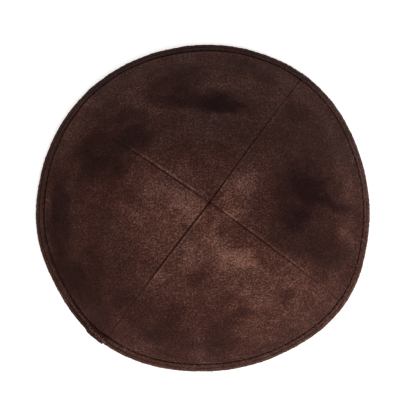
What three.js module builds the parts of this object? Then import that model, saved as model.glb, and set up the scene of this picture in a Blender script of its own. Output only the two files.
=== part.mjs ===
// A four-panel suede skullcap (kippah), lying on its rim. Millimetres, +Z up.
// Four gore panels meet at the crown. A folded suede strip binds their lower edge.
// +X is the right side and -Y is the front. The rim rests on z = 0.

import * as THREE from 'three';

// ---- driving dimensions ----

const panelWall = 1.2;        // one thickness of suede
const bindingWall = 1.0;      // the binding strip, folded over the edge
const sewnGap = 0.3;          // clearance between neighbouring panels
const pocketGap = 0.4;        // clearance between a panel's edge and the fold round it
const bindingReach = 0.961;   // the binding's inner edge, from crown (0) to rim (1)
const foldOverhang = 1.1;     // how far the binding stands outside the panels' edge
const footWidth = 2.4;        // flat underside of the fold that rests on the table
const footSetIn = 0.2;        // the flat starts this far outside the fold's inner face
const crownX = 3.4;           // the crown sits slightly to the right of the middle

const panelSteps = 18;        // columns across one panel
const wallSteps = 20;         // rows from the crown down to the rim

// The lap where the binding's end is sewn over its start: it rises over ramp and ends
// just past its bearing.
const lap = { bearing: 233.6, length: 15, rise: 0.7, ramp: 6, drop: 0.5 };

// Outer edge of the rim, seen from above: an uneven round, drawn out at the front right.
const rimRows = [
  { place: 'right, behind the middle', bearing: 18, radius: 86.95 },
  { place: 'back right corner', bearing: 48, radius: 88.0 },
  { place: 'back, right of the middle', bearing: 75, radius: 86.5 },
  { place: 'back middle', bearing: 103, radius: 85.4 },
  { place: 'back left', bearing: 140, radius: 86.3 },
  { place: 'left, behind the middle', bearing: 168, radius: 86.8 },
  { place: 'left middle', bearing: 190, radius: 87.85 },
  { place: 'left, before the lap', bearing: 208, radius: 87.25 },
  { place: 'front left corner', bearing: 228, radius: 88.3 },
  { place: 'front, past the lap', bearing: 243, radius: 87.7 },
  { place: 'front middle', bearing: 270, radius: 85.8 },
  { place: 'front right', bearing: 298, radius: 87.0 },
  { place: 'front right corner', bearing: 326, radius: 90.0 },
  { place: 'right, before the middle', bearing: 352, radius: 87.85 },
];

// Height of the cloth from the crown (reach 0) down to the panels' lower edge (reach 1).
const profileRows = [
  { reach: 0, height: 53 },
  { reach: 0.15, height: 52.3 },
  { reach: 0.3, height: 50 },
  { reach: 0.45, height: 45.9 },
  { reach: 0.6, height: 39.6 },
  { reach: 0.75, height: 30.6 },
  { reach: 0.88, height: 19.6 },
  { reach: 1, height: 2.4 },
];

// Soft dents pressed into the cloth. A negative depth is a bulge.
const dentRows = [
  { place: 'band across the back', bearing: 93, reach: 0.66, wide: 26, tall: 10, depth: 2.6 },
  { place: 'hollow at the back left seam', bearing: 149, reach: 0.68, wide: 22, tall: 14, depth: 3.2 },
  { place: 'hollow on the right', bearing: 2, reach: 0.65, wide: 20, tall: 16, depth: 3.0 },
  { place: 'low dent, front right', bearing: 340, reach: 0.8, wide: 14, tall: 9, depth: 1.4 },
  { place: 'low dent, back right', bearing: 47, reach: 0.77, wide: 13, tall: 9, depth: 1.2 },
  { place: 'front dimple', bearing: 262, reach: 0.62, wide: 15, tall: 9, depth: 1.5 },
  { place: 'front left dimple', bearing: 225, reach: 0.78, wide: 16, tall: 8, depth: 1.3 },
  { place: 'crease above the left rim', bearing: 186, reach: 0.87, wide: 34, tall: 5, depth: 1.1 },
  { place: 'front crown bulge', bearing: 305, reach: 0.45, wide: 24, tall: 18, depth: -1.6 },
  { place: 'left crown bulge', bearing: 190, reach: 0.42, wide: 22, tall: 16, depth: -1.0 },
];

// The panels lie between seams and are named by the side that they face.
const panelRows = [
  { name: 'panel_back', start: 52.6, end: 144.3, color: 0x3a2521 },
  { name: 'panel_left', start: 144.3, end: 233.9, color: 0x402522 },
  { name: 'panel_front', start: 233.9, end: 325.5, color: 0x4a2c26 },
  { name: 'panel_right', start: 325.5, end: 412.6, color: 0x40282a },
];

const middleSink = 2.2;       // a panel's middle lies this much below its seams
const bindingColor = 0x34201d;
const suedeRoughness = 0.95;

// Reaches between which the sink and dents grow from nothing, and fade out at the rim.
const softStart = { from: 0.05, to: 0.3 };
const softEnd = { from: 0.88, to: 0.97 };

// ---- shape of the cloth ----

const fullTurn = 360;
const toRadians = Math.PI / 180;

function wrap(angle) {
  return ((angle % fullTurn) + fullTurn) % fullTurn;
}

// Signed difference between two bearings, -180 to 180 degrees.
function turnBetween(from, to) {
  return wrap(to - from + fullTurn / 2) - fullTurn / 2;
}

// A cubic through b and c whose slopes follow the rows on both sides.
function cubic(a, b, c, d, x) {
  const width = c.at - b.at;
  const slopeB = (c.value - a.value) / (c.at - a.at);
  const slopeC = (d.value - b.value) / (d.at - b.at);
  const t = (x - b.at) / width;
  const t2 = t * t;
  const t3 = t2 * t;
  const fromB = (2 * t3 - 3 * t2 + 1) * b.value + (t3 - 2 * t2 + t) * width * slopeB;
  const fromC = (3 * t2 - 2 * t3) * c.value + (t3 - t2) * width * slopeC;
  return fromB + fromC;
}

// The rim's outer radius at a bearing, a smooth closed curve through rimRows.
function rimRadius(bearing) {
  const count = rimRows.length;
  const row = (index) => {
    const turns = Math.floor(index / count);
    const source = rimRows[index - turns * count];
    return { at: source.bearing + turns * fullTurn, value: source.radius };
  };
  let angle = wrap(bearing);
  if (angle < rimRows[0].bearing) angle += fullTurn;
  let index = 0;
  while (row(index + 1).at <= angle) index += 1;
  return cubic(row(index - 1), row(index), row(index + 1), row(index + 2), angle);
}

// Height of the plain dome. It is level at the crown and straight below the rim row.
function domeHeight(reach) {
  const last = profileRows.length - 1;
  const row = (index) => {
    if (index < 0) {
      return { at: -profileRows[1].reach, value: profileRows[1].height };
    }
    if (index > last) {
      const end = profileRows[last];
      const before = profileRows[last - 1];
      return { at: 2 * end.reach - before.reach, value: 2 * end.height - before.height };
    }
    return { at: profileRows[index].reach, value: profileRows[index].height };
  };
  let index = 0;
  while (index < last - 1 && profileRows[index + 1].reach <= reach) index += 1;
  return cubic(row(index - 1), row(index), row(index + 1), row(index + 2), reach);
}

// 0 on a seam, 1 in the middle of a panel.
function awayFromSeam(bearing) {
  for (const panel of panelRows) {
    const across = wrap(bearing - panel.start) / (panel.end - panel.start);
    if (across <= 1) return Math.sin(Math.PI * across) ** 2;
  }
  return 0;
}

function dentDepth(bearing, reach) {
  const radius = rimRadius(bearing);
  let depth = 0;
  for (const dent of dentRows) {
    const sideways = turnBetween(dent.bearing, bearing) * toRadians * radius * dent.reach;
    const along = (reach - dent.reach) * radius;
    depth += dent.depth * Math.exp(-((sideways / dent.wide) ** 2) - (along / dent.tall) ** 2);
  }
  return depth;
}

// A point on the panels' outer face.
function clothPoint(bearing, reach) {
  const angle = bearing * toRadians;
  const radius = rimRadius(bearing) - foldOverhang;
  const x = crownX * (1 - reach) + radius * reach * Math.cos(angle);
  const y = radius * reach * Math.sin(angle);
  const grown = THREE.MathUtils.smoothstep(reach, softStart.from, softStart.to);
  const left = 1 - THREE.MathUtils.smoothstep(reach, softEnd.from, softEnd.to);
  const sink = middleSink * awayFromSeam(bearing) + dentDepth(bearing, reach);
  return new THREE.Vector3(x, y, domeHeight(reach) - sink * grown * left);
}

// The outward normal there, from two short steps over the surface.
function clothNormal(bearing, reach) {
  if (reach === 0) return new THREE.Vector3(0, 0, 1);
  const turn = 0.2;    // degrees
  const step = 0.004;  // of the reach
  const across = clothPoint(bearing + turn, reach).sub(clothPoint(bearing - turn, reach));
  const down = clothPoint(bearing, reach + step).sub(clothPoint(bearing, reach - step));
  return down.cross(across).normalize();
}

function offsetPoint(bearing, reach, distance) {
  return clothPoint(bearing, reach).addScaledVector(clothNormal(bearing, reach), distance);
}

// ---- meshes ----

function meshFrom(name, points, faces, color) {
  const geometry = new THREE.BufferGeometry();
  const values = points.flatMap((point) => [point.x, point.y, point.z]);
  geometry.setAttribute('position', new THREE.Float32BufferAttribute(values, 3));
  geometry.setIndex(faces.flat());
  geometry.computeVertexNormals();
  const material = new THREE.MeshStandardMaterial({ color, roughness: suedeRoughness, metalness: 0 });
  const mesh = new THREE.Mesh(geometry, material);
  mesh.name = name;
  return mesh;
}

// Two triangles for the quad a, b, c, d, counted anticlockwise from outside.
function quad(a, b, c, d) {
  return [[a, b, c], [a, c, d]];
}

// The panels' rows: even down the wall, with the last two at the binding.
function rowReach(row) {
  const bindingRow = wallSteps - 1;
  if (row <= bindingRow) return (row / bindingRow) * bindingReach;
  return 1;
}

// A panel is moved away from both its seams by half the gap between neighbours.
function seamClearance(panel) {
  const startSide = (panel.start + 90) * toRadians;
  const endSide = (panel.end - 90) * toRadians;
  const first = new THREE.Vector3(Math.cos(startSide), Math.sin(startSide), 0);
  const second = new THREE.Vector3(Math.cos(endSide), Math.sin(endSide), 0);
  const share = (sewnGap / 2) / (1 + first.dot(second));
  return first.add(second).multiplyScalar(share);
}

function makePanel(panel) {
  const clearance = seamClearance(panel);
  const columns = panelSteps + 1;
  const points = [];
  const faces = [];
  const layers = [0, -panelWall];
  for (const depth of layers) {
    points.push(offsetPoint(panel.start, 0, depth).add(clearance));
    for (let row = 1; row <= wallSteps; row += 1) {
      for (let column = 0; column < columns; column += 1) {
        const bearing = THREE.MathUtils.lerp(panel.start, panel.end, column / panelSteps);
        points.push(offsetPoint(bearing, rowReach(row), depth).add(clearance));
      }
    }
  }
  const layerSize = points.length / 2;
  // Row 0 is the single point at the crown.
  const at = (layer, row, column) => {
    if (row === 0) return layer * layerSize;
    return layer * layerSize + 1 + (row - 1) * columns + column;
  };
  const corners = (layer, row, column) => [
    at(layer, row, column),
    at(layer, row + 1, column),
    at(layer, row + 1, column + 1),
    at(layer, row, column + 1),
  ];
  for (let column = 0; column < panelSteps; column += 1) {
    faces.push([at(0, 0, 0), at(0, 1, column), at(0, 1, column + 1)]);
    faces.push([at(1, 0, 0), at(1, 1, column + 1), at(1, 1, column)]);
    for (let row = 1; row < wallSteps; row += 1) {
      const outer = corners(0, row, column);
      const inner = corners(1, row, column);
      faces.push(...quad(outer[0], outer[1], outer[2], outer[3]));
      faces.push(...quad(inner[3], inner[2], inner[1], inner[0]));
    }
    const low = wallSteps;
    const next = column + 1;
    faces.push(...quad(at(0, low, column), at(1, low, column), at(1, low, next), at(0, low, next)));
  }
  const side = panelSteps;
  for (let row = 0; row < wallSteps; row += 1) {
    const below = row + 1;
    faces.push(...quad(at(0, row, 0), at(1, row, 0), at(1, below, 0), at(0, below, 0)));
    faces.push(...quad(at(0, below, side), at(1, below, side), at(1, row, side), at(0, row, side)));
  }
  return meshFrom(panel.name, points, faces, panel.color);
}

// Extra thickness of the binding where its end lies over its start.
function lapRise(bearing) {
  const past = turnBetween(lap.bearing, bearing) * toRadians * rimRadius(bearing);
  if (past < -lap.length || past > lap.drop) return 0;
  return lap.rise * Math.min(1, (past + lap.length) / lap.ramp);
}

// The folded strip's section at one bearing: up the outside, down into the pocket
// that holds the panels' edge, and down the inside to the flat foot.
function bindingSection(bearing) {
  const outside = pocketGap + bindingWall;
  const inside = panelWall + pocketGap;
  const rise = lapRise(bearing);
  const middle = (bindingReach + 1) / 2;
  const down = clothPoint(bearing, 1).sub(clothPoint(bearing, 0.98)).normalize();
  const pocketOut = offsetPoint(bearing, 1, pocketGap).addScaledVector(down, pocketGap);
  const pocketIn = offsetPoint(bearing, 1, -inside).addScaledVector(down, pocketGap);
  const inner = offsetPoint(bearing, 1, -inside - bindingWall);
  const outward = new THREE.Vector3(Math.cos(bearing * toRadians), Math.sin(bearing * toRadians), 0);
  const footIn = inner.clone().setZ(0).addScaledVector(outward, footSetIn);
  const footOut = footIn.clone().addScaledVector(outward, footWidth);
  return [
    offsetPoint(bearing, bindingReach, outside + rise),
    offsetPoint(bearing, middle, outside + rise),
    offsetPoint(bearing, 1, outside + rise),
    footOut,
    footIn,
    inner,
    offsetPoint(bearing, bindingReach, -inside - bindingWall),
    offsetPoint(bearing, bindingReach, -inside),
    pocketIn,
    pocketOut,
    offsetPoint(bearing, middle, pocketGap),
    offsetPoint(bearing, bindingReach, pocketGap),
  ];
}

// Bearings round the rim: the panels' own columns, so that walls and fold run parallel.
function bindingBearings() {
  const bearings = [];
  for (const panel of panelRows) {
    for (let column = 0; column < panelSteps; column += 1) {
      bearings.push(THREE.MathUtils.lerp(panel.start, panel.end, column / panelSteps));
    }
  }
  return bearings;
}

function makeBinding() {
  const sections = bindingBearings().map(bindingSection);
  const size = sections[0].length;
  const points = sections.flat();
  const faces = [];
  for (let step = 0; step < sections.length; step += 1) {
    const here = step * size;
    const next = ((step + 1) % sections.length) * size;
    for (let corner = 0; corner < size; corner += 1) {
      const after = (corner + 1) % size;
      faces.push(...quad(here + corner, here + after, next + after, next + corner));
    }
  }
  return meshFrom('rim_binding', points, faces, bindingColor);
}

// ---- assembly ----

const cap = new THREE.Group();
for (const panel of panelRows) cap.add(makePanel(panel));
cap.add(makeBinding());

export default cap;
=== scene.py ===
import math

import bpy
import numpy as np
from mathutils import Matrix, Vector, noise


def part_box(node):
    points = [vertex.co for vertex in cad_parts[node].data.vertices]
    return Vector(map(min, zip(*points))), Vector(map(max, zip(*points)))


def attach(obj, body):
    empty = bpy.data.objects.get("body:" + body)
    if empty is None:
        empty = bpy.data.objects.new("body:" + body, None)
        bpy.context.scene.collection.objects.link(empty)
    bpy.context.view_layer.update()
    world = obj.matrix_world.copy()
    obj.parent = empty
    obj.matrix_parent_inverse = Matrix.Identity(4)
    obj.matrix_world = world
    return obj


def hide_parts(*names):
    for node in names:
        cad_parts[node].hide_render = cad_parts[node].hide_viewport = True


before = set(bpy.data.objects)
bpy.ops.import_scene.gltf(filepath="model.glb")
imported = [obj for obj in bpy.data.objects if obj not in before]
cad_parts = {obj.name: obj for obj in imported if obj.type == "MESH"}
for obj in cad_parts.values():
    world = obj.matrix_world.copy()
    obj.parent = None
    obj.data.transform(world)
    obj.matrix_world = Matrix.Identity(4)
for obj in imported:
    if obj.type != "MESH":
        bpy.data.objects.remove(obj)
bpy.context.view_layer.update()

mm = 0.001

# the rim's middle is the binding's, and the crown is where the four panels' boxes meet
rimLow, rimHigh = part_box("rim_binding")
backLow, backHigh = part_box("panel_back")
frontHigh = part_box("panel_front")[1]
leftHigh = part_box("panel_left")[1]
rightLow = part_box("panel_right")[0]
tableHeight = rimLow.z
crownPoint = np.array([
    (leftHigh.x + rightLow.x) / 2,
    (frontHigh.y + backLow.y) / 2,
    backHigh.z,
]) / mm

cameraSetup = {
    "elevation": 87.0,     # degrees above the table, looking from the front
    "distance": 1.2,
    "frameWidth": 0.2189,  # what the picture takes in at the rim's height
    "aimAside": 0.0027,
    "aimForward": 0.00015,
    "sensor": 36.0,
}


def setCamera(setup):
    data = bpy.data.cameras.new("overhead_camera")
    data.sensor_width = setup["sensor"]
    data.lens = setup["sensor"] * setup["distance"] / setup["frameWidth"]
    camera = bpy.data.objects.new("overhead_camera", data)
    bpy.context.scene.collection.objects.link(camera)
    rise = math.radians(setup["elevation"])
    back = Vector((0, -math.cos(rise), math.sin(rise)))
    aim = Vector((
        (rimLow.x + rimHigh.x) / 2 + setup["aimAside"],
        (rimLow.y + rimHigh.y) / 2 - setup["aimForward"],
        tableHeight,
    ))
    camera.location = aim + back * setup["distance"]
    camera.rotation_mode = "QUATERNION"
    camera.rotation_quaternion = (-back).to_track_quat("-Z", "Y")
    bpy.context.scene.camera = camera


setCamera(cameraSetup)
print("camera set")

# shape of the cap in millimetres, as the part's source has it
capShape = {
    "foldOverhang": 1.1,
    "middleSink": 2.2,
    "softStart": (0.05, 0.3),
    "softEnd": (0.88, 0.97),
    "rim": [
        {"bearing": 18, "radius": 86.95},
        {"bearing": 48, "radius": 88.0},
        {"bearing": 75, "radius": 86.5},
        {"bearing": 103, "radius": 85.4},
        {"bearing": 140, "radius": 86.3},
        {"bearing": 168, "radius": 86.8},
        {"bearing": 190, "radius": 87.85},
        {"bearing": 208, "radius": 87.25},
        {"bearing": 228, "radius": 88.3},
        {"bearing": 243, "radius": 87.7},
        {"bearing": 270, "radius": 85.8},
        {"bearing": 298, "radius": 87.0},
        {"bearing": 326, "radius": 90.0},
        {"bearing": 352, "radius": 87.85},
    ],
    "profile": [
        {"reach": 0, "height": 53},
        {"reach": 0.15, "height": 52.3},
        {"reach": 0.3, "height": 50},
        {"reach": 0.45, "height": 45.9},
        {"reach": 0.6, "height": 39.6},
        {"reach": 0.75, "height": 30.6},
        {"reach": 0.88, "height": 19.6},
        {"reach": 1, "height": 2.4},
    ],
    "dents": [
        {"bearing": 93, "reach": 0.66, "wide": 26, "tall": 10, "depth": 2.6},
        {"bearing": 149, "reach": 0.68, "wide": 22, "tall": 14, "depth": 3.2},
        {"bearing": 2, "reach": 0.65, "wide": 20, "tall": 16, "depth": 3.0},
        {"bearing": 340, "reach": 0.8, "wide": 14, "tall": 9, "depth": 1.4},
        {"bearing": 47, "reach": 0.77, "wide": 13, "tall": 9, "depth": 1.2},
        {"bearing": 262, "reach": 0.62, "wide": 15, "tall": 9, "depth": 1.5},
        {"bearing": 225, "reach": 0.78, "wide": 16, "tall": 8, "depth": 1.3},
        {"bearing": 186, "reach": 0.87, "wide": 34, "tall": 5, "depth": 1.1},
        {"bearing": 305, "reach": 0.45, "wide": 24, "tall": 18, "depth": -1.6},
        {"bearing": 190, "reach": 0.42, "wide": 22, "tall": 16, "depth": -1.0},
    ],
}
# each seam is deepest near the crown and closes up further out; "at" is in millimetres
# from the crown, and the ridges are the turnings pressed flat under the panels beside it
seams = [
    {"bearing": 52.6, "ridgeBefore": 0.1, "ridgeAfter": 0.05,
     "at": (0, 14, 24, 56, 66, 74, 84, 90),
     "depth": (1, 0.8, 0.5, 0.4, 0.15, 0.4, 0.4, 0)},
    {"bearing": 144.3, "ridgeBefore": 0.25, "ridgeAfter": 0.05,
     "at": (0, 6, 12, 30, 44, 54, 90),
     "depth": (0.5, 0.35, 0.7, 0.6, 0.4, 0.08, 0.05)},
    {"bearing": 233.9, "ridgeBefore": 0.05, "ridgeAfter": 0.1,
     "at": (0, 25, 48, 54, 66, 82, 90),
     "depth": (1.1, 1.0, 0.8, 0.15, 0.1, 0.2, 0.05)},
    {"bearing": 325.5, "ridgeBefore": 0.05, "ridgeAfter": 0.3,
     "at": (0, 8, 30, 50, 60, 80, 90),
     "depth": (0.5, 0.4, 0.5, 0.35, 0.2, 0.15, 0.0)},
]
seamBearings = [seam["bearing"] for seam in seams]


def smoothStep(x, low, high):
    t = np.clip((x - low) / (high - low), 0, 1)
    return t * t * (3 - 2 * t)


def turnBetween(start, bearing):
    return (bearing - start + 180) % 360 - 180


def smoothCurve(at, value, x):
    # cubic through the rows, each slope taken from the rows on both sides
    at, value = np.array(at, float), np.array(value, float)
    i = np.clip(np.searchsorted(at, x, side="right") - 1, 1, len(at) - 3)
    width = at[i + 1] - at[i]
    slopeHere = (value[i + 1] - value[i - 1]) / (at[i + 1] - at[i - 1])
    slopeNext = (value[i + 2] - value[i]) / (at[i + 2] - at[i])
    t = (x - at[i]) / width
    t2, t3 = t * t, t * t * t
    fromHere = (2 * t3 - 3 * t2 + 1) * value[i] + (t3 - 2 * t2 + t) * width * slopeHere
    return fromHere + (3 * t2 - 2 * t3) * value[i + 1] + (t3 - t2) * width * slopeNext


def rimRadius(bearing):
    rows = capShape["rim"]
    at = [row["bearing"] + turn for turn in (-360, 0, 360) for row in rows]
    value = [row["radius"] for row in rows] * 3
    return smoothCurve(at, value, np.asarray(bearing, float) % 360)


def domeHeight(reach):
    rows = capShape["profile"]
    at = [-rows[1]["reach"]] + [row["reach"] for row in rows]
    value = [rows[1]["height"]] + [row["height"] for row in rows]
    at.append(2 * at[-1] - at[-2])
    value.append(2 * value[-1] - value[-2])
    return smoothCurve(at, value, reach)


def awayFromSeam(bearing):
    # 0 on a seam, 1 in the middle of a panel
    away = np.zeros_like(bearing)
    for start, end in zip(seamBearings, seamBearings[1:] + [seamBearings[0] + 360]):
        across = ((bearing - start) % 360) / (end - start)
        away = np.where(across <= 1, np.sin(np.pi * across) ** 2, away)
    return away


def clothPoint(bearing, reach):
    # the panels' smooth outer face, in millimetres
    bearing, reach = np.broadcast_arrays(np.asarray(bearing, float), np.asarray(reach, float))
    angle = np.radians(bearing)
    outline = rimRadius(bearing)
    radius = outline - capShape["foldOverhang"]
    sink = capShape["middleSink"] * awayFromSeam(bearing)
    for dent in capShape["dents"]:
        sideways = np.radians(turnBetween(dent["bearing"], bearing)) * outline * dent["reach"]
        along = (reach - dent["reach"]) * outline
        spread = (sideways / dent["wide"]) ** 2 + (along / dent["tall"]) ** 2
        sink = sink + dent["depth"] * np.exp(-spread)
    sink = sink * smoothStep(reach, *capShape["softStart"])
    sink = sink * (1 - smoothStep(reach, *capShape["softEnd"]))
    x = crownPoint[0] * (1 - reach) + radius * reach * np.cos(angle)
    y = crownPoint[1] * (1 - reach) + radius * reach * np.sin(angle)
    return np.stack([x, y, domeHeight(reach) - sink + tableHeight / mm], axis=-1)


def clothNormal(bearing, reach):
    turn, step = 0.2, 0.004
    across = clothPoint(bearing + turn, reach) - clothPoint(bearing - turn, reach)
    down = clothPoint(bearing, reach + step) - clothPoint(bearing, reach - step)
    normal = np.cross(down, across)
    normal[np.asarray(reach) < step] = (0, 0, 1)
    return normal / np.linalg.norm(normal, axis=-1, keepdims=True)


def cloudNoise(points, size, shift):
    # smooth noise from -1 to 1 whose lumps are about size across
    flat = points.reshape(-1, 3) / size + shift
    return np.array([noise.noise(Vector(p)) for p in flat]).reshape(points.shape[:-1])


def hexColor(code):
    values = [int(code[i:i + 2], 16) / 255 for i in (1, 3, 5)]
    linear = [v / 12.92 if v <= 0.04045 else ((v + 0.055) / 1.055) ** 2.4 for v in values]
    return (*linear, 1.0)


def deselectAll():
    for item in bpy.context.selected_objects:
        item.select_set(False)


def activate(piece):
    deselectAll()
    piece.select_set(True)
    bpy.context.view_layer.objects.active = piece


def sheetMesh(name, points, attributes, singleTop):
    # a sheet from rows of points in millimetres, faces turned outwards
    rows, columns = points.shape[:2]
    flat = points.reshape(-1, 3) * mm
    index = np.arange(rows * columns).reshape(rows, columns)
    a, b = index[:-1, :-1], index[1:, :-1]
    c, d = index[1:, 1:], index[:-1, 1:]
    faces = np.stack([a, b, c, d], axis=-1).reshape(-1, 4).tolist()
    keep = np.arange(len(flat))
    if singleTop:
        # the first row is one point, so its quads become triangles round it
        faces = [[f[0], f[1], f[2]] if i < columns - 1 else f for i, f in enumerate(faces)]
        faces = [[0 if v < columns else v - columns + 1 for v in f] for f in faces]
        keep = np.concatenate([[0], np.arange(columns, len(flat))])
    mesh = bpy.data.meshes.new(name)
    mesh.from_pydata(flat[keep].tolist(), [], faces)
    for label, values in attributes.items():
        attribute = mesh.attributes.new(label, "FLOAT", "POINT")
        attribute.data.foreach_set("value", values.reshape(-1)[keep].astype(np.float32))
    mesh.update()
    piece = bpy.data.objects.new(name, mesh)
    bpy.context.scene.collection.objects.link(piece)
    return piece


def thicken(piece, thickness, offset):
    activate(piece)
    wall = piece.modifiers.new("wall", "SOLIDIFY")
    wall.thickness = thickness * mm
    wall.offset = offset
    wall.use_quality_normals = True
    bpy.ops.object.modifier_apply(modifier="wall")
    bpy.ops.object.shade_smooth_by_angle(angle=math.radians(55))


# soft darker (below 0) and lighter (above 0) places, in millimetres from the rim's middle: the
# brushed nap's own tone together with painted shade in the hollows and on slopes turned from the
# light, and painted light and sheen on the crown, the lit front and near the rim; wide and tall are
# half widths, turn is in degrees, and only keeps a patch to one panel, where the nap changes at a seam
napAndShadePatches = [
    {"place": "band across the back", "x": 0, "y": 53, "wide": 21, "tall": 6, "turn": -4, "tone": -0.9},
    {"place": "band's dark right end", "x": 10, "y": 51, "wide": 11, "tall": 4.5, "turn": -5, "tone": -0.6},
    {"place": "band's lower edge", "x": -3, "y": 50, "wide": 19, "tall": 3.5, "turn": -4, "tone": -0.25},
    {"place": "band's upper left", "x": -16, "y": 61, "wide": 11, "tall": 6, "turn": 0, "tone": -0.4},
    {"place": "above the band", "x": -11, "y": 68, "wide": 14, "tall": 5, "turn": 5, "tone": -0.4},
    {"place": "back, near the rim", "x": 24, "y": 71, "wide": 13, "tall": 4, "turn": -22, "tone": -0.5},
    {"place": "back left hollow", "x": -51, "y": 28, "wide": 14, "tall": 11, "turn": 12, "tone": -0.9},
    {"place": "hollow's lower end", "x": -50, "y": 17, "wide": 13, "tall": 6, "turn": 0, "tone": -0.45},
    {"place": "hollow's right tail", "x": -34, "y": 33, "wide": 9, "tall": 6, "turn": 20, "tone": -0.75},
    {"place": "hollow's upper edge", "x": -47, "y": 47, "wide": 15, "tall": 4.5, "turn": 0, "tone": -0.4},
    {"place": "hollow's upper right", "x": -36, "y": 43, "wide": 7, "tall": 6, "turn": 0, "tone": -0.4},
    {"place": "light spot in the hollow", "x": -49, "y": 47, "wide": 5, "tall": 2.5, "turn": 0, "tone": 0.4},
    {"place": "back left rim", "x": -66, "y": 48, "wide": 5, "tall": 12, "turn": -38, "tone": 0.25},
    {"place": "strip by the left rim", "x": -74, "y": -3, "wide": 5, "tall": 20, "turn": 2, "tone": -1.05},
    {"place": "strip's lower end", "x": -68, "y": -36, "wide": 5.5, "tall": 17, "turn": 25, "tone": -0.9},
    {"place": "left panel, outer", "x": -60, "y": -4, "wide": 13, "tall": 26, "turn": 5, "tone": -0.2},
    {"place": "left panel, streak", "x": -55, "y": -36, "wide": 4, "tall": 14, "turn": 6, "tone": -0.4},
    {"place": "left panel, low", "x": -52, "y": -42, "wide": 16, "tall": 18, "turn": 20, "tone": -0.28},
    {"place": "front left spot", "x": -40, "y": -48, "wide": 6, "tall": 5, "turn": 0, "tone": -0.35},
    {"place": "by the strip's lap", "x": -51, "y": -61, "wide": 7, "tall": 5, "turn": -45, "tone": -0.35},
    {"place": "right hollow", "x": 51, "y": 6, "wide": 14, "tall": 15, "turn": 0, "tone": -1.0},
    {"place": "hollow's upper core", "x": 53, "y": 12, "wide": 8, "tall": 5, "turn": 0, "tone": -0.4},
    {"place": "hollow's middle core", "x": 57, "y": 4, "wide": 10, "tall": 4, "turn": -15, "tone": -0.75},
    {"place": "hollow's tongue", "x": 70, "y": -1, "wide": 7, "tall": 3, "turn": -20, "tone": -0.7},
    {"place": "hollow's lower core", "x": 48, "y": -10, "wide": 9, "tall": 6, "turn": 35, "tone": -0.7},
    {"place": "hollow's tail", "x": 65, "y": -22, "wide": 11, "tall": 8, "turn": -45, "tone": -0.45},
    {"place": "by the front right seam", "x": 42, "y": -20, "wide": 12, "tall": 5, "turn": -35, "tone": -0.2,
     "only": "panel_right"},
    {"place": "hollow's front", "x": 50, "y": -17, "wide": 17, "tall": 8, "turn": -38, "tone": -0.35,
     "only": "panel_right"},
    {"place": "right rim", "x": 77, "y": 3, "wide": 4, "tall": 20, "turn": 0, "tone": 0.12},
    {"place": "right rim, lower", "x": 74, "y": -14, "wide": 5, "tall": 7, "turn": 0, "tone": 0.3},
    {"place": "back right spot", "x": 49, "y": 48, "wide": 7, "tall": 4.5, "turn": 0, "tone": -0.45},
    {"place": "right panel, back", "x": 48, "y": 30, "wide": 20, "tall": 14, "turn": 0, "tone": -0.3},
    {"place": "by the back right seam", "x": 26, "y": 46, "wide": 6, "tall": 9, "turn": 0, "tone": -0.15},
    {"place": "back, middle", "x": 0, "y": 34, "wide": 30, "tall": 9, "turn": 0, "tone": -0.25},
    {"place": "left of the crown", "x": -18, "y": -5, "wide": 19, "tall": 22, "turn": 0, "tone": 0.38},
    {"place": "left, close to the crown", "x": -8, "y": -2, "wide": 6, "tall": 9, "turn": 50, "tone": 0.3},
    {"place": "right of the crown", "x": 17, "y": 3, "wide": 8, "tall": 14, "turn": -20, "tone": 0.5},
    {"place": "front crown", "x": 17, "y": -28, "wide": 8, "tall": 5, "turn": -10, "tone": 0.6},
    {"place": "right, by the crown", "x": 20, "y": -8, "wide": 7, "tall": 4, "turn": -30, "tone": 0.25},
    {"place": "right of the front crown", "x": 31, "y": -31, "wide": 6, "tall": 4, "turn": 0, "tone": -0.1},
    {"place": "streak under the crown", "x": 6, "y": -15, "wide": 3.5, "tall": 7, "turn": 0, "tone": 0.35},
    {"place": "front crown, around", "x": 8, "y": -28, "wide": 19, "tall": 11, "turn": -8, "tone": 0.3},
    {"place": "front, by the crown", "x": -5, "y": -24, "wide": 13, "tall": 9, "turn": 30, "tone": 0.08,
     "only": "panel_front"},
    {"place": "by the front left seam", "x": -21, "y": -37, "wide": 6, "tall": 3, "turn": 20, "tone": 0.45,
     "only": "panel_front"},
    {"place": "front right", "x": 38, "y": -42, "wide": 23, "tall": 14, "turn": -20, "tone": 0.3},
    {"place": "front right, low", "x": 34, "y": -62, "wide": 16, "tall": 8, "turn": 20, "tone": 0.15},
    {"place": "front right rim", "x": 66, "y": -43, "wide": 10, "tall": 8, "turn": 45, "tone": 0.2},
    {"place": "spot in the light", "x": 41, "y": -47, "wide": 3, "tall": 2, "turn": 0, "tone": -0.35},
    {"place": "front, left", "x": -27, "y": -58, "wide": 15, "tall": 10, "turn": -20, "tone": -0.3},
    {"place": "front, low left", "x": -14, "y": -59, "wide": 7, "tall": 4, "turn": 0, "tone": -0.35},
    {"place": "front, lower", "x": -17, "y": -70, "wide": 15, "tall": 6, "turn": 0, "tone": -0.45},
    {"place": "light spot in front", "x": -3, "y": -66, "wide": 5, "tall": 4, "turn": 0, "tone": 0.15},
    {"place": "front, lower right", "x": 9, "y": -68, "wide": 8, "tall": 7, "turn": 0, "tone": -0.5},
    {"place": "front, low right", "x": 19, "y": -57, "wide": 8, "tall": 1.6, "turn": 10, "tone": -0.35},
    {"place": "front, light on the right", "x": 22, "y": -53, "wide": 8, "tall": 9, "turn": 0, "tone": 0.25},
    {"place": "front, middle", "x": -3, "y": -37, "wide": 4, "tall": 3.5, "turn": 0, "tone": -0.3},
]


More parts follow.
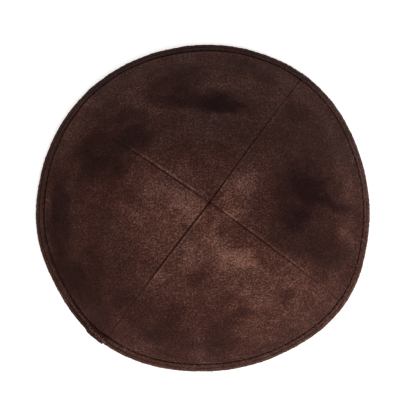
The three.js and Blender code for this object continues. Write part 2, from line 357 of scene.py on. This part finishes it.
napLook = {
    "drift": (13, 3.0),       # size and strength of the wandering of the patches' edges
    "fringe": (5, 3.5),       # the same, finer
    "edge": (2.1, 0.7),       # how sharply a patch ends
    "clouds": (9, 0.22),      # size and strength of the faint marks between the patches
    "coolBase": 0.05,
    "coolBack": (0.6, -15, 60),   # strength, and where it starts and is full, front to back
    # painted sheen: greyer towards the rim, as grazing light makes the nap look
    "rimSheen": (0.15, 66, 88),  # the same, from the middle to the rim
    "coolClouds": (16, 0.5),
}


def napAndShadeTone(points, overall, node):
    # patches of nap tone and of painted shade and light, with edges that wander as a brushed nap's do
    size, strength = napLook["drift"]
    drift = np.stack([cloudNoise(points, size, 3.1), cloudNoise(points, size, 9.7)], axis=-1)
    fineSize, fineStrength = napLook["fringe"]
    fringe = np.stack([cloudNoise(points, fineSize, 5.3), cloudNoise(points, fineSize, 1.9)], axis=-1)
    wander = drift * strength + fringe * fineStrength
    sharpness, fill = napLook["edge"]
    tone = np.full(points.shape[:-1], float(overall))
    for patch in napAndShadePatches:
        if patch.get("only", node) != node:
            continue
        turn = math.radians(patch["turn"])
        x = points[..., 0] + wander[..., 0] - patch["x"]
        y = points[..., 1] + wander[..., 1] - patch["y"]
        along = (x * math.cos(turn) + y * math.sin(turn)) / patch["wide"]
        across = (y * math.cos(turn) - x * math.sin(turn)) / patch["tall"]
        tone = tone + patch["tone"] * np.exp(-(along ** 2 + across ** 2) ** sharpness * fill)
    size, strength = napLook["clouds"]
    return tone + strength * cloudNoise(points, size, 6.6)


def greyingAndRimSheen(points):
    # greyer at the back, greyer towards the rim as a painted grazing sheen, redder at the front and left
    outerShare, start, full = napLook["rimSheen"]
    outer = smoothStep(np.hypot(points[..., 0], points[..., 1]), start, full)
    backShare, start, full = napLook["coolBack"]
    back = smoothStep(points[..., 1] + 0.35 * points[..., 0], start, full)
    size, strength = napLook["coolClouds"]
    clouds = strength * cloudNoise(points, size, 8.1)
    return np.clip(napLook["coolBase"] + backShare * back + outerShare * outer + clouds, 0, 1)


panelCut = {
    "halfColumns": 72,      # columns from a seam to the panel's middle
    "crowding": 1.6,        # draws them towards the seam
    "rowsAt": (0, 128, 134, 184, 190),  # rows down the panel, and how far each stretch reaches
    "reachAt": (0, 0.92, 0.942, 0.972, 1),
    "wall": 1.1,
    "seamGap": -0.03,     # pressed together
    "rollWidth": (0.4, 0.7),    # least, and what the seam's depth adds
    "rollDepth": (0.12, 1.1),
    "valley": (0.5, 3.6),       # depth and width of the pull beside a seam
    "pucker": (0.25, 6.5, 4.2), # height, width and pitch
    "ridge": (1.0, 0.5),        # distance from the seam and width
    "ridgeStart": (3, 10),      # how far from the crown a ridge begins and is full
    "ridgeHighlight": 4.5,           # painted highlight: the crest is lighter
    "seamShadeWidth": 0.6,            # half width of the painted shade line in a seam
    "slack": ((34, 0.5, 2.2), (15, 0.22, 7.4), (6, 0.07, 4.8)),  # size, height and shift of each wave
    "swell": (0.95, 4.5),       # height and width of the pillow inside the stitching
    "tuck": (0.9, 0.15),        # where it drops under the strip, and how fast
}
panelPieces = [
    {"node": "panel_back", "name": "back_panel_suede", "seams": (0, 1), "tone": 0.15},
    {"node": "panel_left", "name": "left_panel_suede", "seams": (1, 2), "tone": 0.2},
    {"node": "panel_front", "name": "front_panel_suede", "seams": (2, 3), "tone": 0.22},
    {"node": "panel_right", "name": "right_panel_suede", "seams": (3, 0), "tone": 0.12},
]
# how far inside the rim's outline the stitching meets the panels' face, in plan millimetres;
# it shows nearer the edge, as the strip's thickness lifts it outwards
stitchRow = [
    {"bearing": 0, "inset": 4.1},
    {"bearing": 60, "inset": 4.5},
    {"bearing": 100, "inset": 4.4},
    {"bearing": 135, "inset": 4.2},
    {"bearing": 165, "inset": 4.9},
    {"bearing": 195, "inset": 4.9},
    {"bearing": 225, "inset": 4.7},
    {"bearing": 260, "inset": 4.3},
    {"bearing": 310, "inset": 4.2},
]
slantOfRim = 165.0   # millimetres down the steep edge for each unit of reach


def stitchReachAt(bearing):
    at = [row["bearing"] + turn for turn in (-360, 0, 360) for row in stitchRow]
    value = [row["inset"] for row in stitchRow] * 3
    inset = smoothCurve(at, value, np.asarray(bearing, float) % 360)
    return 1 - (inset - capShape["foldOverhang"]) / (rimRadius(bearing) - capShape["foldOverhang"])


def seamLine(index):
    # plan direction of a seam from the crown
    end = clothPoint(np.array([seamBearings[index]]), np.array([1.0]))[0]
    line = end[:2] - crownPoint[:2]
    return line / np.linalg.norm(line)


def buildPanel(panel):
    cut = panelCut
    first, second = panel["seams"]
    start = seamBearings[first]
    end = start + (seamBearings[second] - start) % 360
    half = np.linspace(0, 1, cut["halfColumns"] + 1) ** cut["crowding"] / 2
    across = np.concatenate([half, 1 - half[-2::-1]])
    down = np.interp(np.arange(cut["rowsAt"][-1] + 1), cut["rowsAt"], cut["reachAt"])
    reach, share = np.meshgrid(down, across, indexing="ij")
    bearing = start + (end - start) * share
    base = clothPoint(bearing, reach)
    normal = clothNormal(bearing, reach)
    fromCrown = base[..., :2] - crownPoint[:2]
    relief = sum(height * cloudNoise(base, size, shift) for size, height, shift in cut["slack"])
    relief *= smoothStep(reach, 0.0, 0.12) * (1 - 0.6 * smoothStep(reach, 0.86, 0.95))
    shade = np.zeros_like(reach)
    tone = napAndShadeTone(base, panel["tone"], panel["node"])
    for index, ridge in ((first, "ridgeAfter"), (second, "ridgeBefore")):
        seam = seams[index]
        line = seamLine(index)
        distance = np.abs(fromCrown[..., 0] * line[1] - fromCrown[..., 1] * line[0])
        length = fromCrown @ line
        depth = np.interp(length, seam["at"], seam["depth"])
        least, extra = cut["rollWidth"]
        width = least + extra * depth
        inside = np.clip(1 - distance / width, 0, 1)
        least, extra = cut["rollDepth"]
        relief -= (least + extra * depth) * (1 - np.sqrt(1 - inside ** 2))
        size, width = cut["valley"]
        relief -= size * np.exp(-distance / width)
        size, fade, pitch = cut["pucker"]
        along = np.stack([length / pitch, np.full_like(length, index * 7.0), distance / 14], axis=-1)
        relief += size * np.exp(-distance / fade) * cloudNoise(along, 1.0, 0.37)
        place, width = cut["ridge"]
        crest = np.exp(-((distance - place) / width) ** 2) * smoothStep(length, *cut["ridgeStart"])
        relief += seam[ridge] * crest
        # painted highlight on the ridge's crest
        tone += cut["ridgeHighlight"] * seam[ridge] * crest * depth
        # painted shade in the seam's groove
        shade += depth * np.exp(-(distance / cut["seamShadeWidth"]) ** 2)
    # the panel swells towards the stitching, which presses it down
    inside = (stitchReachAt(bearing) - reach) * slantOfRim
    height, width = cut["swell"]
    place, steepness = cut["tuck"]
    swell = height * np.exp(-((inside - place) / width) ** 2)
    relief += swell * smoothStep(inside, place - steepness, place + steepness)
    points = base + normal * relief[..., None]
    # both seams' share of the gap, as in the CAD
    sideStart = np.radians(start + 90)
    sideEnd = np.radians(end - 90)
    shift = np.array([np.cos(sideStart) + np.cos(sideEnd), np.sin(sideStart) + np.sin(sideEnd), 0])
    points = points + shift * (cut["seamGap"] / 2) / (1 + np.cos(sideStart - sideEnd))
    attributes = {"napAndShadeTone": tone, "greyingAndRimSheen": greyingAndRimSheen(base), "seamShade": np.clip(shade, 0, 1)}
    piece = sheetMesh(panel["name"], points, attributes, singleTop=True)
    thicken(piece, cut["wall"], -1)
    return piece


bindingCut = {
    "steps": 1300,
    "wall": 0.85,
    "pocket": 0.15,        # clearance to the panel's edge inside the fold
    "foldDepth": 1.7,      # how far the fold reaches below the panel's edge
    "lapBearing": 233.6,
    "lapLength": 6.0,      # degrees of overlap
    "lapRamp": 2.5,
    "lapRise": 0.95,
    # tone round the rim by bearing: painted light on the side facing the front right light, painted shade
    # round the back, and darker just before the lap
    "lightAndShadeAt": (0, 45, 90, 135, 180, 214, 219, 232, 236, 270, 315, 360),
    "tone": (0.45, 0.15, -0.55, -0.25, 0.0, 0.2, -0.35, -0.4, 0.3, 0.3, 0.35, 0.45),
    "stitchPitch": 3.4,
    "crease": (0.9833, 0.6, 0.55),  # reach, depth and width of the fold's crease
    "creaseSide": (165, 90),        # where round the rim it shows most, and how far
    # rows of the outer leg: offsets from the stitching, then shares of the way to the fold
    "sewnSteps": (-0.0042, -0.0032, -0.0022, -0.0012, -0.0004, 0.0004, 0.0012, 0.0022, 0.0034),
    "legShare": (0.18, 0.28, 0.38, 0.48, 0.54, 0.6, 0.66, 0.72, 0.8, 0.9, 1.0),
    "legEnd": 0.997,         # reach where the outer leg turns into the fold
    "crownEnd": 0.991,       # reach where its gentle crown dies out
    "foldTurn": (0, 15, 35, 55, 75, 95, 115, 135, 155, 180),
    "innerShare": (0.15, 0.45, 0.75, 1.0),
    "underPress": 0.2,       # how much thinner the strip's start is pressed under its end
    "foldHighlight": 0.35,       # painted highlight along the fold, where its outermost fibres stand up and catch the light
}


def stitchBearings():
    # even steps of arc length along the stitching
    fine = np.linspace(0, 360, 7201)
    points = clothPoint(fine, stitchReachAt(fine))
    steps = np.linalg.norm(np.diff(points, axis=0), axis=1)
    length = np.concatenate([[0], np.cumsum(steps)])
    count = int(round(length[-1] / bindingCut["stitchPitch"]))
    return np.interp(np.arange(count) / count * length[-1], length, fine), length[-1] / count


def lapHeight(bearing):
    # the strip's end climbs over its start
    before = (bindingCut["lapBearing"] - bearing) % 360
    climb = smoothStep(before, bindingCut["lapLength"], bindingCut["lapLength"] + bindingCut["lapRamp"])
    return bindingCut["lapRise"] * (1 - climb)


def buildBinding():
    cut = bindingCut
    start = cut["lapBearing"] - cut["lapLength"]
    turn = np.linspace(0, 360 + cut["lapLength"], cut["steps"])
    bearing = start + turn
    half = cut["wall"] / 2
    outside = cut["pocket"] + half
    inside = -panelCut["wall"] - cut["pocket"] - half
    # the end of the strip rises over its start, whose first stretch is pressed thinner
    under = 1 - smoothStep(turn, cut["lapLength"] - 1, cut["lapLength"] + 2)
    rise = cut["lapRise"] * smoothStep(turn, 360 - cut["lapRamp"], 360) - cut["underPress"] * under
    sewn = stitchReachAt(bearing)
    firstStep, lastStep = cut["sewnSteps"][0], cut["sewnSteps"][-1]
    legReach = [sewn + step for step in cut["sewnSteps"]]
    legReach += [sewn + lastStep + (cut["legEnd"] - lastStep - sewn) * share for share in cut["legShare"]]
    holes, pitch = stitchBearings()
    rows = []
    phase = np.interp(bearing % 360, np.append(holes, 360), np.arange(len(holes) + 1))
    fromHole = np.abs(phase - np.round(phase)) * pitch
    side, spread = cut["creaseSide"]
    creaseReach, creaseDepth, creaseWidth = cut["crease"]
    creased = 0.8 + 0.5 * np.exp(-(turnBetween(side, bearing) / spread) ** 4)
    creased *= 1 + 0.7 * cloudNoise(clothPoint(bearing, np.ones_like(bearing)), 14, 5.9)
    lines = []
    for reach in legReach:
        base = clothPoint(bearing, reach)
        normal = clothNormal(bearing, reach)
        slant = (reach - sewn) * slantOfRim
        crown = 0.2 * np.sin(math.pi * np.clip((reach - sewn) / (cut["crownEnd"] - sewn), 0, 1))
        groove = 0.4 * np.exp(-(slant / 0.5) ** 2) + 0.3 * smoothStep(-slant, 0.1, 0.6)
        dimple = 0.22 * np.exp(-(fromHole / 0.6) ** 2) * np.exp(-(slant / 0.7) ** 2)
        fold = np.exp(-((reach - creaseReach) * slantOfRim / creaseWidth) ** 2) * creased
        nap = 0.16 * cloudNoise(base, 1.5, 8.8) + 0.12 * cloudNoise(base, 7, 3.3)
        lifted = rise * (0.15 + 0.85 * smoothStep(slant, 0.1, 1.6))
        height = outside + lifted + crown - groove - dimple - creaseDepth * fold + nap
        rows.append(base + normal * height[:, None])
        # painted shade along the stitching, in the crease and at the cut edge
        line = 1.3 * np.exp(-(slant / 0.55) ** 2) + 1.15 * fold
        lines.append(line + 0.8 * smoothStep(-slant, 0.2, 0.6))
    edge = clothPoint(bearing, np.ones_like(bearing))
    normal = clothNormal(bearing, np.ones_like(bearing))
    down = edge - clothPoint(bearing, np.full_like(bearing, 0.98))
    down /= np.linalg.norm(down, axis=1, keepdims=True)
    middle, radius = (outside + inside) / 2, (outside - inside) / 2
    for angle in np.radians(cut["foldTurn"]):
        nap = 0.4 * cloudNoise(edge + angle * 2, 1.3, 6.1) + 0.2 * cloudNoise(edge, 8, 2.7)
        outward = middle + (radius + rise + nap * math.cos(angle / 2)) * math.cos(angle)
        below = radius * cut["foldDepth"] * math.sin(angle)
        point = edge + normal * outward[:, None] + down * below
        point[:, 2] = np.maximum(point[:, 2], half + tableHeight / mm + 0.02)
        rows.append(point)
    for share in cut["innerShare"]:
        reach = 1 + (sewn + firstStep - 1) * share
        pushedIn = inside - np.maximum(rise, 0) * 0.6
        rows.append(clothPoint(bearing, reach) + clothNormal(bearing, reach) * pushedIn[:, None])
    points = np.stack(rows, axis=0)
    # the cut edge is never quite straight
    fray = 0.16 * cloudNoise(points[0], 0.9, 1.3) + 0.2 * cloudNoise(points[0], 6, 4.1)
    outwards = points[0] - points[1]
    outwards /= np.linalg.norm(outwards, axis=1, keepdims=True)
    points[0] += outwards * fray[:, None]
    # nap tone with its painted shade and light, plus the painted light and shade round the rim
    tone = napAndShadeTone(points, 0, "rim_binding") + np.interp(bearing % 360, cut["lightAndShadeAt"], cut["tone"])
    tone[len(legReach) - 1:len(legReach) + 4] += cut["foldHighlight"]
    shade = np.zeros(points.shape[:2])
    shade[:len(lines)] = lines
    attributes = {"napAndShadeTone": tone, "greyingAndRimSheen": greyingAndRimSheen(points), "seamShade": shade}
    piece = sheetMesh("rim_binding_suede", points, attributes, singleTop=False)
    thicken(piece, cut["wall"], 0)
    return piece


stitchShape = {
    "name": "topstitching",
    "length": 2.8,
    "radius": 0.28,
    "sink": 0.18,
}


def moveEnd(stitch, side, beyond, offset):
    # moves the vertices of one end that lie further out than beyond
    for vertex in stitch.data.vertices:
        vertex.select = vertex.co.z * side > beyond
    bpy.ops.object.mode_set(mode="EDIT")
    bpy.ops.transform.translate(value=offset)
    bpy.ops.mesh.select_all(action="DESELECT")
    bpy.ops.object.mode_set(mode="OBJECT")


def buildStitch(shape):
    # one thread bit: a ball drawn out lengthways, its ends pulled down into the suede
    deselectAll()
    bpy.ops.mesh.primitive_uv_sphere_add(segments=8, ring_count=6, radius=shape["radius"] * mm)
    stitch = bpy.context.active_object
    stitch.name = shape["name"]
    bpy.ops.object.mode_set(mode="EDIT")
    bpy.ops.mesh.select_all(action="DESELECT")
    bpy.ops.object.mode_set(mode="OBJECT")
    reachOut = (shape["length"] / 2 - shape["radius"]) * mm
    for side in (-1, 1):
        moveEnd(stitch, side, 1e-6, (0, 0, side * reachOut))
        moveEnd(stitch, side, reachOut, (-shape["sink"] * mm, 0, 0))
    return stitch


def placeCopies(template, places, name):
    # copies the template's mesh to each place and joins the copies into one piece
    copies = []
    for place in places:
        copy = bpy.data.objects.new(name, template.data.copy())
        copy.data.transform(place)
        bpy.context.scene.collection.objects.link(copy)
        copies.append(copy)
    bpy.data.objects.remove(template)
    deselectAll()
    for copy in copies:
        copy.select_set(True)
    bpy.context.view_layer.objects.active = copies[0]
    bpy.ops.object.join()
    piece = bpy.context.active_object
    piece.name = name
    bpy.ops.object.shade_smooth()
    return piece


def stitchPlace(bearing, reach, height, tilt):
    # x is the stitch's up, z runs along the rim
    here = np.array([bearing])
    at = np.array([reach])
    point = clothPoint(here, at)[0]
    up = Vector(clothNormal(here, at)[0])
    along = Vector(clothPoint(here + 0.3, at)[0] - clothPoint(here - 0.3, at)[0]).normalized()
    side = along.cross(up)
    turn = Matrix.Rotation(tilt, 3, up)
    frameMatrix = Matrix((up, turn @ side, turn @ along)).transposed().to_4x4()
    return Matrix.Translation((Vector(point) + up * height) * mm) @ frameMatrix


def buildTopstitch():
    random = np.random.default_rng(41)
    holes, pitch = stitchBearings()
    step = np.diff(np.append(holes, holes[0] + 360)) / 2
    surface = bindingCut["pocket"] + bindingCut["wall"] - 0.2
    places = []
    for hole, half in zip(holes, step):
        bearing = hole + half
        tilt = random.normal(0, math.radians(2.5))
        reach = float(stitchReachAt(bearing)) + random.normal(0, 0.0005)
        places.append(stitchPlace(bearing, reach, surface + 0.15 * float(lapHeight(bearing)), tilt))
    return placeCopies(buildStitch(stitchShape), places, stitchShape["name"])


# the strip's end is fastened by short stitches run back and forth; before is in degrees
# before the end, tilt in degrees from the rim's direction
backtack = {
    "name": "lap_backtack",
    "length": 1.5,
    "radius": 0.17,
    "sink": 0.12,
    "lift": 0.3,
    "rows": [
        {"reach": 0.969, "first": 1.0, "last": 17.0, "count": 12, "tilt": 10},
        {"reach": 0.976, "first": 0.6, "last": 7.5, "count": 6, "tilt": -12},
        {"reach": 0.983, "first": 0.4, "last": 3.2, "count": 3, "tilt": 18},
    ],
    "looseEnds": [
        {"reach": 0.985, "before": -0.35, "tilt": 10},
        {"reach": 0.9905, "before": -0.5, "tilt": -24},
        {"reach": 0.979, "before": -0.3, "tilt": 38},
    ],
}


def buildBacktack(shape):
    random = np.random.default_rng(7)
    surface = bindingCut["pocket"] + bindingCut["wall"] + shape["lift"]
    places = []
    for row in shape["rows"]:
        for before in np.linspace(row["first"], row["last"], row["count"]):
            bearing = bindingCut["lapBearing"] - before + random.normal(0, 0.15)
            reach = row["reach"] + random.normal(0, 0.0008)
            tilt = math.radians(row["tilt"] + random.normal(0, 6))
            places.append(stitchPlace(bearing, reach, surface + float(lapHeight(bearing)), tilt))
    for end in shape["looseEnds"]:
        bearing = bindingCut["lapBearing"] - end["before"]
        raised = surface + 0.6 * bindingCut["lapRise"]
        places.append(stitchPlace(bearing, end["reach"], raised, math.radians(end["tilt"])))
    return placeCopies(buildStitch(shape), places, shape["name"])


def addNode(tree, kind, values=None, links=None, **settings):
    node = tree.nodes.new(kind)
    for name, value in settings.items():
        setattr(node, name, value)
    for socket, value in (values or {}).items():
        node.inputs[socket].default_value = value
    for socket, source in (links or {}).items():
        tree.links.new(source, node.inputs[socket])
    return node


def newMaterial(name):
    material = bpy.data.materials.new(name)
    material.use_nodes = True
    material.node_tree.nodes.clear()
    return material


def suedeMaterial(name, warm, cool, speckle):
    # Split suede, napped by sanding: matt, with soft patches where the nap lies one way or
    # the other and painted shade and light, greyer towards the rim as a painted sheen, and a fine speckle
    # from the tips of the fibres.
    material = newMaterial(name)
    tree = material.node_tree
    place = addNode(tree, "ShaderNodeTexCoord").outputs["Object"]
    tone = addNode(tree, "ShaderNodeAttribute", attribute_name="napAndShadeTone").outputs["Fac"]
    coolness = addNode(tree, "ShaderNodeAttribute", attribute_name="greyingAndRimSheen").outputs["Fac"]
    shade = addNode(tree, "ShaderNodeAttribute", attribute_name="seamShade").outputs["Fac"]
    # wisps brushed sideways, mottling 2.6 mm across and fibre tips 0.8 mm across: real tips are
    # finer, but would blur away at this distance
    sideways = addNode(tree, "ShaderNodeMapping", {"Scale": (0.6, 1, 1)},
                       {"Vector": place}).outputs["Vector"]
    wisps = addNode(tree, "ShaderNodeTexNoise", {"Scale": 1 / (7 * mm), "Detail": 3, "Roughness": 0.6},
                    {"Vector": sideways}).outputs["Fac"]
    mottle = addNode(tree, "ShaderNodeTexNoise", {"Scale": 1 / (2.6 * mm), "Detail": 2, "Roughness": 0.55},
                     {"Vector": place}).outputs["Fac"]
    fibre = addNode(tree, "ShaderNodeTexNoise", {"Scale": 1 / (0.8 * mm), "Detail": 2, "Roughness": 0.7},
                    {"Vector": place}).outputs["Fac"]
    total = tone
    for part, strength in ((wisps, 0.8), (mottle, 0.4), (fibre, speckle)):
        centred = addNode(tree, "ShaderNodeMath", {1: 0.5}, {0: part}, operation="SUBTRACT").outputs[0]
        total = addNode(tree, "ShaderNodeMath", {1: strength}, {0: centred, 2: total},
                        operation="MULTIPLY_ADD").outputs[0]
    share = addNode(tree, "ShaderNodeMapRange", {"From Min": -1.5, "From Max": 1.5},
                    {"Value": total}).outputs[0]
    ramps = []
    for colors in (warm, cool):
        ramp = addNode(tree, "ShaderNodeValToRGB", None, {"Fac": share})
        stops = ramp.color_ramp.elements
        while len(stops) < len(colors):
            stops.new(0.5)
        for stop, color in zip(stops, colors):
            stop.position = color["at"]
            stop.color = hexColor(color["hex"])
        ramps.append(ramp.outputs["Color"])
    mixed = addNode(tree, "ShaderNodeMix", None, {"Factor": coolness, "A": ramps[0], "B": ramps[1]},
                    data_type="RGBA").outputs["Result"]
    # painted shade in the seams, along the stitching, in the crease and at the cut edge: mixed towards near
    # black
    line = addNode(tree, "ShaderNodeMath", {1: 0.6}, {0: shade}, operation="MULTIPLY").outputs[0]
    dark = addNode(tree, "ShaderNodeMix", {"B": hexColor("#0d0605")}, {"Factor": line, "A": mixed},
                   data_type="RGBA").outputs["Result"]
    height = addNode(tree, "ShaderNodeMath", {1: 0.5}, {0: mottle, 2: fibre},
                     operation="MULTIPLY_ADD").outputs[0]
    bump = addNode(tree, "ShaderNodeBump", {"Strength": 0.6, "Distance": 0.3 * mm}, {"Height": height})
    shader = addNode(tree, "ShaderNodeBsdfPrincipled", {
        "Roughness": 0.95, "IOR": 1.45, "Specular IOR Level": 0.06,
        "Sheen Weight": 0.08, "Sheen Roughness": 0.6, "Sheen Tint": hexColor("#7a4a3e"),
    }, {"Base Color": dark, "Normal": bump.outputs["Normal"]})
    addNode(tree, "ShaderNodeOutputMaterial", None, {"Surface": shader.outputs["BSDF"]})
    return material


def threadMaterial(name, code):
    # spun polyester thread, two plies twisted: matt, with lighter and darker flecks from a noise as a
    # painted highlight on the turns
    material = newMaterial(name)
    tree = material.node_tree
    place = addNode(tree, "ShaderNodeTexCoord").outputs["Object"]
    twist = addNode(tree, "ShaderNodeTexNoise", {"Scale": 1 / (0.5 * mm), "Detail": 1},
                    {"Vector": place}).outputs["Fac"]
    ramp = addNode(tree, "ShaderNodeValToRGB", None, {"Fac": twist})
    base = Vector(hexColor(code)[:3])
    ramp.color_ramp.elements[0].position = 0.3
    ramp.color_ramp.elements[0].color = (*(base * 0.6), 1)
    ramp.color_ramp.elements[1].position = 0.7
    ramp.color_ramp.elements[1].color = (*(base * 1.5), 1)
    bump = addNode(tree, "ShaderNodeBump", {"Strength": 0.4, "Distance": 0.1 * mm}, {"Height": twist})
    shader = addNode(tree, "ShaderNodeBsdfPrincipled", {"Roughness": 0.85, "Specular IOR Level": 0.08},
                     {"Base Color": ramp.outputs["Color"], "Normal": bump.outputs["Normal"]})
    addNode(tree, "ShaderNodeOutputMaterial", None, {"Surface": shader.outputs["BSDF"]})
    return material


warmSuede = [
    {"at": 0.0, "hex": "#180a09"},
    {"at": 0.17, "hex": "#1f0f0d"},
    {"at": 0.5, "hex": "#301a16"},
    {"at": 0.67, "hex": "#412620"},
    {"at": 0.83, "hex": "#583a30"},
    {"at": 1.0, "hex": "#755045"},
]
# greyer colours, mixed in at the back and as the painted sheen towards the rim
coolSuede = [
    {"at": 0.0, "hex": "#180b0c"},
    {"at": 0.17, "hex": "#1f1111"},
    {"at": 0.5, "hex": "#2f1e1b"},
    {"at": 0.67, "hex": "#402b27"},
    {"at": 0.83, "hex": "#573e39"},
    {"at": 1.0, "hex": "#73564f"},
]
panelSuede = suedeMaterial("napped_split_suede", warmSuede, coolSuede, 4.2)
bindingSuede = suedeMaterial("folded_suede_strip", warmSuede, coolSuede, 4.6)
darkThread = threadMaterial("spun_polyester_thread", "#0d0504")
dustyThread = threadMaterial("spun_polyester_thread_rubbed", "#6b483e")

for panel in panelPieces:
    piece = buildPanel(panel)
    piece.data.materials.append(panelSuede)
    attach(piece, "root")
    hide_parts(panel["node"])
    print("made", piece.name)

bindingPiece = buildBinding()
bindingPiece.data.materials.append(bindingSuede)
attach(bindingPiece, "root")
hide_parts("rim_binding")
print("made", bindingPiece.name)

topstitch = buildTopstitch()
topstitch.data.materials.append(darkThread)
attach(topstitch, "root")
print("made", topstitch.name)

lapStitches = buildBacktack(backtack)
lapStitches.data.materials.append(dustyThread)
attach(lapStitches, "root")
print("made", lapStitches.name)

studio = {
    "floorSize": 6.0,
    "world": 0.85,
    "key": 13.0,
    "keySize": 0.9,
    "keyPlace": (0.55, -0.95, 1.0),
}


def buildStudio(setup):
    deselectAll()
    bpy.ops.mesh.primitive_plane_add(size=setup["floorSize"], location=(0, 0, tableHeight))
    floor = bpy.context.active_object
    floor.name = "pale_floor"
    material = newMaterial("lit_white_acrylic")
    tree = material.node_tree
    place = addNode(tree, "ShaderNodeTexCoord").outputs["Object"]
    grain = addNode(tree, "ShaderNodeTexNoise", {"Scale": 1 / (3 * mm), "Detail": 2},
                    {"Vector": place}).outputs["Fac"]
    bump = addNode(tree, "ShaderNodeBump", {"Strength": 0.05, "Distance": 0.1 * mm}, {"Height": grain})
    shader = addNode(tree, "ShaderNodeBsdfPrincipled", {
        "Base Color": hexColor("#f4f4f2"), "Roughness": 0.9, "Specular IOR Level": 0.2,
        "Emission Color": hexColor("#ffffff"), "Emission Strength": 0.35,
    }, {"Normal": bump.outputs["Normal"]})
    addNode(tree, "ShaderNodeOutputMaterial", None, {"Surface": shader.outputs["BSDF"]})
    floor.data.materials.append(material)
    world = bpy.data.worlds.new("studio_world")
    bpy.context.scene.world = world
    world.use_nodes = True
    world.node_tree.nodes["Background"].inputs["Color"].default_value = (1, 1, 1, 1)
    world.node_tree.nodes["Background"].inputs["Strength"].default_value = setup["world"]
    light = bpy.data.lights.new("front_softbox", "AREA")
    light.size = setup["keySize"]
    light.energy = setup["key"]
    box = bpy.data.objects.new("front_softbox", light)
    box.location = setup["keyPlace"]
    box.rotation_mode = "QUATERNION"
    box.rotation_quaternion = (-box.location).to_track_quat("-Z", "Y")
    bpy.context.scene.collection.objects.link(box)


buildStudio(studio)
bpy.context.scene.view_settings.view_transform = "Standard"
print("studio set")
